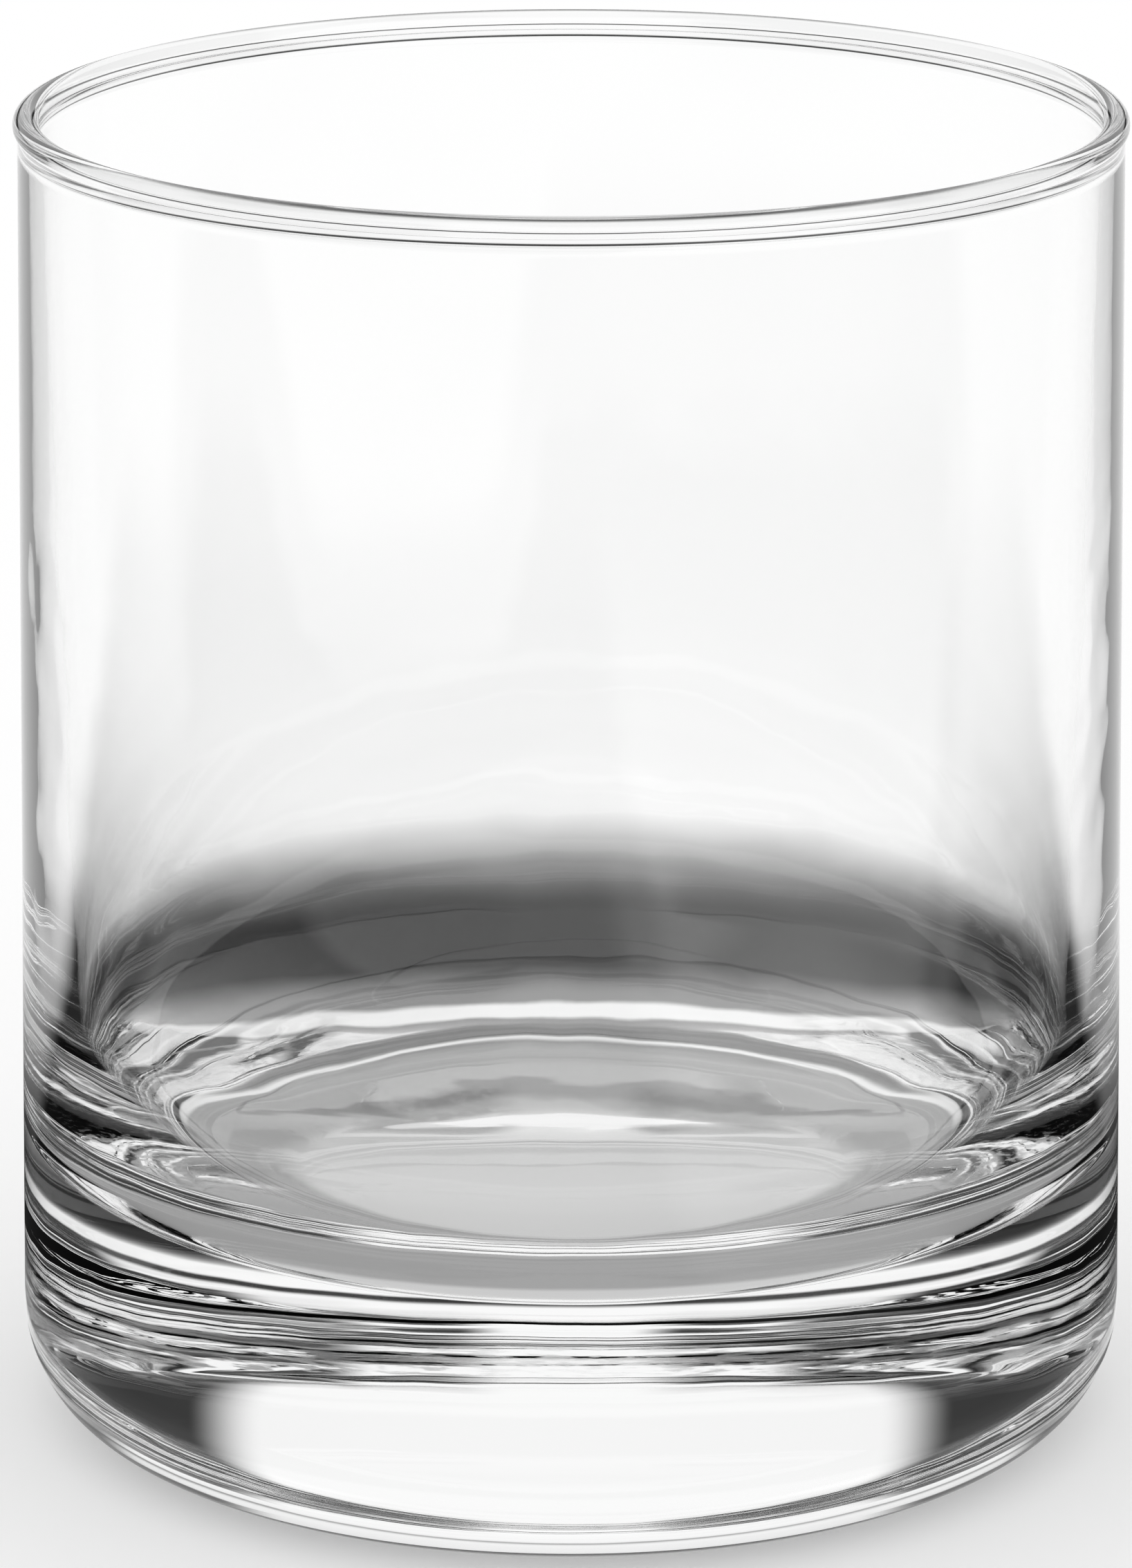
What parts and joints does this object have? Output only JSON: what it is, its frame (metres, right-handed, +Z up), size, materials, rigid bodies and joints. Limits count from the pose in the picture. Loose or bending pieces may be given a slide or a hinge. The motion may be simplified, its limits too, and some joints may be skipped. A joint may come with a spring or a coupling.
{
  "type": "double old fashioned glass",
  "caption": "Straight-sided clear glass tumbler with a thin rounded rim bead, a thick solid base with a rounded heel and a flat foot ring; holds a short drink over ice.",
  "frame": {"origin": "on the axis of revolution, in the plane of the flat foot ring that the glass rests on", "axes": "+Z up along the axis of revolution; X and Y are equal, because the body is the same all the way round"},
  "size_m": [0.087, 0.087, 0.1036],
  "materials": {
    "clear_glass": "clear colourless soda-lime glass, fire polished"
  },
  "bodies": {
    "root": {"tumbler": "clear_glass"}
  },
  "joints": []
}
